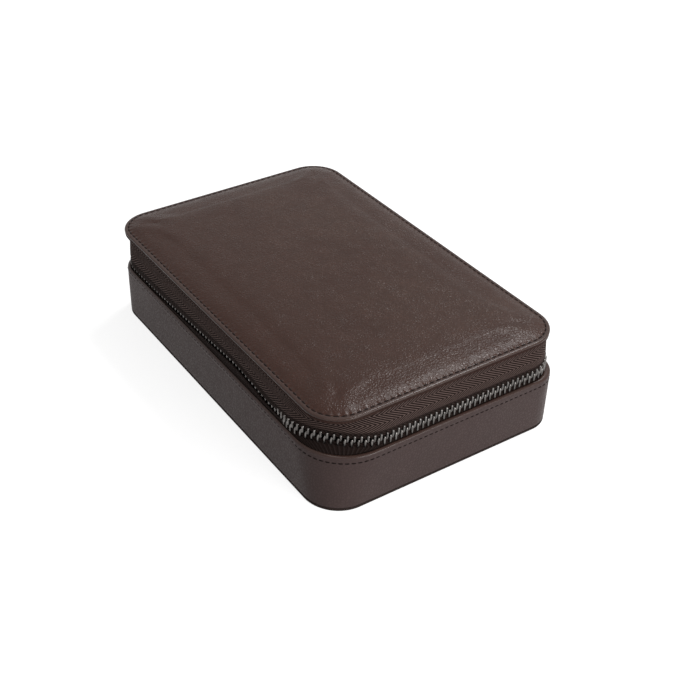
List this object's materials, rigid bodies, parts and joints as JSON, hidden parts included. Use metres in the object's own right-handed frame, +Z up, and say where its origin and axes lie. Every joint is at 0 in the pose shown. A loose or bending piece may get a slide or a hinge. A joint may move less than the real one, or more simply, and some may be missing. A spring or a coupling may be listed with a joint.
{
  "type": "cufflink box",
  "caption": "Zip-round leather box with a padded lid on a leather spine, a metal zip chain with slider, and suede-lined compartments.",
  "frame": {"origin": "centre of the underside of the base, on the surface the box stands on", "axes": "+Z up; X along the long sides; -Y is the front long side and +Y the side with the leather spine that the lid turns on; -X is the side with the zip slider"},
  "size_m": [0.1809, 0.1148, 0.046],
  "materials": {
    "leather": "dark brown grained leather, satin",
    "bottom_leather": "dark brown leather, plain",
    "suede": "brushed microsuede",
    "zip_tape": "dark brown herringbone weave",
    "zip_metal": "gunmetal",
    "slider_metal": "gunmetal, polished",
    "board": "stiff fibreboard, covered",
    "padding": "foam, covered"
  },
  "bodies": {
    "base": {"base_bottom_cover": "bottom_leather", "base_outer_wall": "leather", "base_floor_board": "board", "base_wall_board": "board", "base_wall_lining": "suede", "base_floor_pad": "suede", "long_divider_1": "suede", "long_divider_2": "suede", "cross_divider_1": "suede", "cross_divider_2": "suede", "cross_divider_3": "suede", "cross_divider_4": "suede", "zip_tape_base": "zip_tape", "spine_lower_leaf": "leather", "zip_teeth_base_tail": "zip_metal", "zip_teeth_base_right": "zip_metal", "zip_teeth_base_front": "zip_metal", "zip_teeth_base_left": "zip_metal", "top_stop_base": "zip_metal", "bottom_stop": "zip_metal"},
    "lid": {"lid_top_leather": "leather", "lid_padding": "padding", "lid_board": "board", "lid_edge_band": "leather", "lid_wall_board": "board", "lid_wall_lining": "suede", "lid_cushion": "suede", "zip_tape_lid": "zip_tape", "spine_upper_leaf": "leather", "zip_teeth_lid_tail": "zip_metal", "zip_teeth_lid_right": "zip_metal", "zip_teeth_lid_front": "zip_metal", "zip_teeth_lid_left": "zip_metal", "top_stop_lid": "zip_metal"},
    "slider": {"slider_body": "slider_metal", "slider_bail": "slider_metal"},
    "pull": {"zip_pull": "slider_metal"}
  },
  "joints": [
    {"name": "lid_hinge", "type": "hinge", "parent": "base", "child": "lid", "pos_m": [0, 0.05605, 0.0282], "axis": [-1, 0, 0], "range_deg": [0, 155], "deforming": ["zip_teeth_lid_tail", "zip_teeth_base_tail"]},
    {"name": "zip_slide", "type": "slide", "parent": "base", "child": "slider", "axis": [0, -1, 0], "range_m": [0, 0.07], "deforming": ["zip_teeth_lid_left", "zip_teeth_base_left"]},
    {"name": "pull_swing", "type": "hinge", "parent": "slider", "child": "pull", "pos_m": [-0.0911, 0.034, 0.0282], "axis": [0, 1, 0], "range_deg": [0, 165]}
  ]
}
